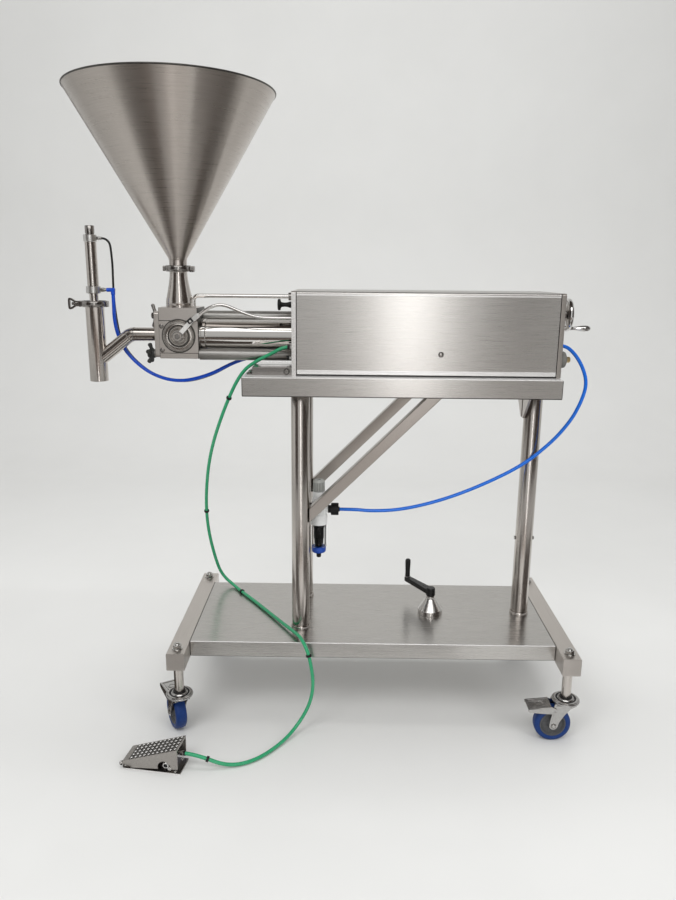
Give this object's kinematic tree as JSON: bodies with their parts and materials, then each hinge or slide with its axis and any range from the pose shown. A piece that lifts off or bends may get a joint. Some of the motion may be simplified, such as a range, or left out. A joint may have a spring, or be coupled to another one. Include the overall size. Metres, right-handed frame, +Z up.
{
  "type": "food depositor",
  "caption": "Wheeled pneumatic food depositor: conical hopper over a rotary valve, piston cylinder, air nozzle, lift stand on locking casters and a foot pedal.",
  "frame": {"origin": "centre of the plan of the whole object with its pedal, at floor level", "axes": "+X along the machine from the nozzle to the handwheel, +Y from the pedal side to the back, +Z up"},
  "size_m": [1.461, 0.7154, 1.733],
  "materials": {
    "steel": "brushed stainless steel",
    "polished": "polished stainless steel",
    "handwheel_metal": "polished",
    "zinc": "bright zinc plate",
    "tyre_blue": "satin rubber",
    "black_paint": "satin black coat",
    "black_plastic": "satin",
    "dark_plastic": "satin",
    "fitting": "nickel plate",
    "regulator_grey": "satin",
    "regulator_white": "gloss",
    "regulator_clear": "clear",
    "pedal_metal": "cast, satin",
    "hose_blue": "gloss",
    "hose_green": "gloss",
    "hose_dark_blue": "gloss",
    "hose_black": "gloss"
  },
  "bodies": {
    "base": {"base_tray": "steel", "beams": "steel", "caster_fixings": "zinc", "inner_columns": "steel", "crank_housing": "steel", "pedal_base": "pedal_metal", "pedal_hose_lower": "hose_green", "pedal_hose_upper": "hose_green"},
    "deck": {"table": "steel", "outer_columns": "steel", "stiffeners": "steel", "front_plate": "steel", "rear_plate": "steel", "casing": "steel", "support_bracket": "steel", "fasteners": "steel", "air_fittings": "fitting", "air_cylinder": "steel", "valve_actuator": "steel", "valve_block": "steel", "product_cylinder": "polished", "tie_rods": "polished", "nozzle_body": "steel", "nozzle_actuator": "steel", "reducer": "steel", "hopper": "steel", "clamps": "steel", "stay_rod": "polished", "regulator_body": "regulator_white", "regulator_bowl": "regulator_clear", "supply_hose": "hose_blue", "nozzle_hose_blue": "hose_dark_blue", "nozzle_hose_black": "hose_black"},
    "crank": {"crank": "black_paint"},
    "crank_grip": {"crank_grip": "black_plastic"},
    "fork_front_left": {"caster_fork_front_left": "zinc"},
    "wheel_front_left": {"caster_wheel_front_left": "tyre_blue"},
    "brake_front_left": {"brake_pedal_front_left": "zinc"},
    "fork_front_right": {"caster_fork_front_right": "zinc"},
    "wheel_front_right": {"caster_wheel_front_right": "tyre_blue"},
    "brake_front_right": {"brake_pedal_front_right": "zinc"},
    "fork_back_left": {"caster_fork_back_left": "zinc"},
    "wheel_back_left": {"caster_wheel_back_left": "tyre_blue"},
    "brake_back_left": {"brake_pedal_back_left": "zinc"},
    "fork_back_right": {"caster_fork_back_right": "zinc"},
    "wheel_back_right": {"caster_wheel_back_right": "tyre_blue"},
    "brake_back_right": {"brake_pedal_back_right": "zinc"},
    "piston": {"piston": "steel"},
    "valve_rotor": {"valve_rotor": "steel"},
    "link_rod": {"link_rod": "polished"},
    "handwheel": {"handwheel": "handwheel_metal"},
    "handwheel_handle": {"handwheel_handle": "handwheel_metal"},
    "stroke_stop": {"stroke_stop": "steel"},
    "plunger": {"plunger": "steel"},
    "star_knob": {"star_knob": "dark_plastic"},
    "wing_knob": {"wing_knob": "steel"},
    "clamp_wing_nut": {"clamp_wing_nut": "steel"},
    "control_knob": {"control_knob": "black_plastic"},
    "regulator_knob": {"regulator_knob": "regulator_grey"},
    "treadle": {"treadle": "pedal_metal"}
  },
  "joints": [
    {"name": "lift", "type": "slide", "parent": "base", "child": "deck", "axis": [0, 0, 1], "range_m": [0, 0.2], "deforming": ["pedal_hose_upper"]},
    {"name": "crank_turn", "type": "hinge", "parent": "base", "child": "crank", "pos_m": [0.3145, 0.07368, 0.316], "axis": [0, 0, 1], "range_deg": [0, 3600]},
    {"name": "crank_grip_turn", "type": "hinge", "parent": "crank", "child": "crank_grip", "pos_m": [0.25141, 0.16863, 0.36], "axis": [0, 0, 1], "continuous": true},
    {"name": "swivel_front_left", "type": "hinge", "parent": "base", "child": "fork_front_left", "pos_m": [-0.4085, -0.17232, 0.124], "axis": [0, 0, 1], "continuous": true},
    {"name": "roll_front_left", "type": "hinge", "parent": "fork_front_left", "child": "wheel_front_left", "pos_m": [-0.4255, -0.14288, 0.051], "axis": [-0.866, -0.5, 0], "continuous": true},
    {"name": "brake_front_left", "type": "hinge", "parent": "fork_front_left", "child": "brake_front_left", "pos_m": [-0.4255, -0.14288, 0.095], "axis": [-0.866, -0.5, 0], "range_deg": [0, 6]},
    {"name": "swivel_front_right", "type": "hinge", "parent": "base", "child": "fork_front_right", "pos_m": [0.6715, -0.17232, 0.124], "axis": [0, 0, 1], "continuous": true},
    {"name": "roll_front_right", "type": "hinge", "parent": "fork_front_right", "child": "wheel_front_right", "pos_m": [0.6375, -0.17232, 0.051], "axis": [0, -1, 0], "continuous": true},
    {"name": "brake_front_right", "type": "hinge", "parent": "fork_front_right", "child": "brake_front_right", "pos_m": [0.6375, -0.17232, 0.095], "axis": [0, -1, 0], "range_deg": [0, 6]},
    {"name": "swivel_back_left", "type": "hinge", "parent": "base", "child": "fork_back_left", "pos_m": [-0.4085, 0.31968, 0.124], "axis": [0, 0, 1], "continuous": true},
    {"name": "roll_back_left", "type": "hinge", "parent": "fork_back_left", "child": "wheel_back_left", "pos_m": [-0.37769, 0.30531, 0.051], "axis": [0.4226, 0.9063, 0], "continuous": true},
    {"name": "brake_back_left", "type": "hinge", "parent": "fork_back_left", "child": "brake_back_left", "pos_m": [-0.37769, 0.30531, 0.095], "axis": [0.4226, 0.9063, 0], "range_deg": [0, 6]},
    {"name": "swivel_back_right", "type": "hinge", "parent": "base", "child": "fork_back_right", "pos_m": [0.6715, 0.31968, 0.124], "axis": [0, 0, 1], "continuous": true},
    {"name": "roll_back_right", "type": "hinge", "parent": "fork_back_right", "child": "wheel_back_right", "pos_m": [0.64069, 0.30531, 0.051], "axis": [0.4226, -0.9063, 0], "continuous": true},
    {"name": "brake_back_right", "type": "hinge", "parent": "fork_back_right", "child": "brake_back_right", "pos_m": [0.64069, 0.30531, 0.095], "axis": [0.4226, -0.9063, 0], "range_deg": [0, 6]},
    {"name": "piston_stroke", "type": "slide", "parent": "deck", "child": "piston", "axis": [1, 0, 0], "range_m": [0, 0.18]},
    {"name": "valve_turn", "type": "hinge", "parent": "deck", "child": "valve_rotor", "pos_m": [-0.4135, 0.01168, 1.1], "axis": [0, -1, 0], "range_deg": [0, 90]},
    {"name": "link_stroke", "type": "slide", "parent": "deck", "child": "link_rod", "axis": [-1, 0, 0], "range_m": [0, 0.082]},
    {"name": "handwheel_turn", "type": "hinge", "parent": "deck", "child": "handwheel", "pos_m": [0.6515, 0.07368, 1.165], "axis": [1, 0, 0], "range_deg": [0, 3600]},
    {"name": "handle_turn", "type": "hinge", "parent": "handwheel", "child": "handwheel_handle", "pos_m": [0.7015, 0.07368, 1.128], "axis": [1, 0, 0], "continuous": true},
    {"name": "stroke_setting", "type": "slide", "parent": "deck", "child": "stroke_stop", "axis": [-1, 0, 0], "range_m": [0, 0.1]},
    {"name": "plunger_lift", "type": "slide", "parent": "deck", "child": "plunger", "axis": [0, 0, 1], "range_m": [0, 0.075]},
    {"name": "star_knob_turn", "type": "hinge", "parent": "deck", "child": "star_knob", "pos_m": [-0.4935, 0.03568, 1.05], "axis": [1, 0, 0], "continuous": true},
    {"name": "wing_knob_turn", "type": "hinge", "parent": "deck", "child": "wing_knob", "pos_m": [-0.4935, 0.11168, 1.15], "axis": [1, 0, 0], "continuous": true},
    {"name": "clamp_wing_turn", "type": "hinge", "parent": "deck", "child": "clamp_wing_nut", "pos_m": [-0.7135, 0.07368, 1.183], "axis": [1, 0, 0], "continuous": true},
    {"name": "control_knob_turn", "type": "hinge", "parent": "deck", "child": "control_knob", "pos_m": [-0.1285, 0.04368, 1.187], "axis": [1, 0, 0], "range_deg": [-150, 150]},
    {"name": "pressure_set", "type": "hinge", "parent": "deck", "child": "regulator_knob", "pos_m": [-0.0255, 0.01368, 0.68], "axis": [0, 0, 1], "range_deg": [-720, 720]},
    {"name": "treadle_press", "type": "hinge", "parent": "base", "child": "treadle", "pos_m": [-0.51959, -0.3355, 0.01], "axis": [0.1478, 0.989, 0], "range_deg": [0, 4], "stiffness_Nm_per_rad": 4, "springref_deg": -14.32}
  ],
  "couplings": [
    {"joint": "crank_turn", "follows": "lift", "rad_per_m": 314.16},
    {"joint": "link_stroke", "follows": "valve_turn", "m_per_rad": 0.0522},
    {"joint": "stroke_setting", "follows": "handwheel_turn", "m_per_rad": 0.0015915}
  ]
}
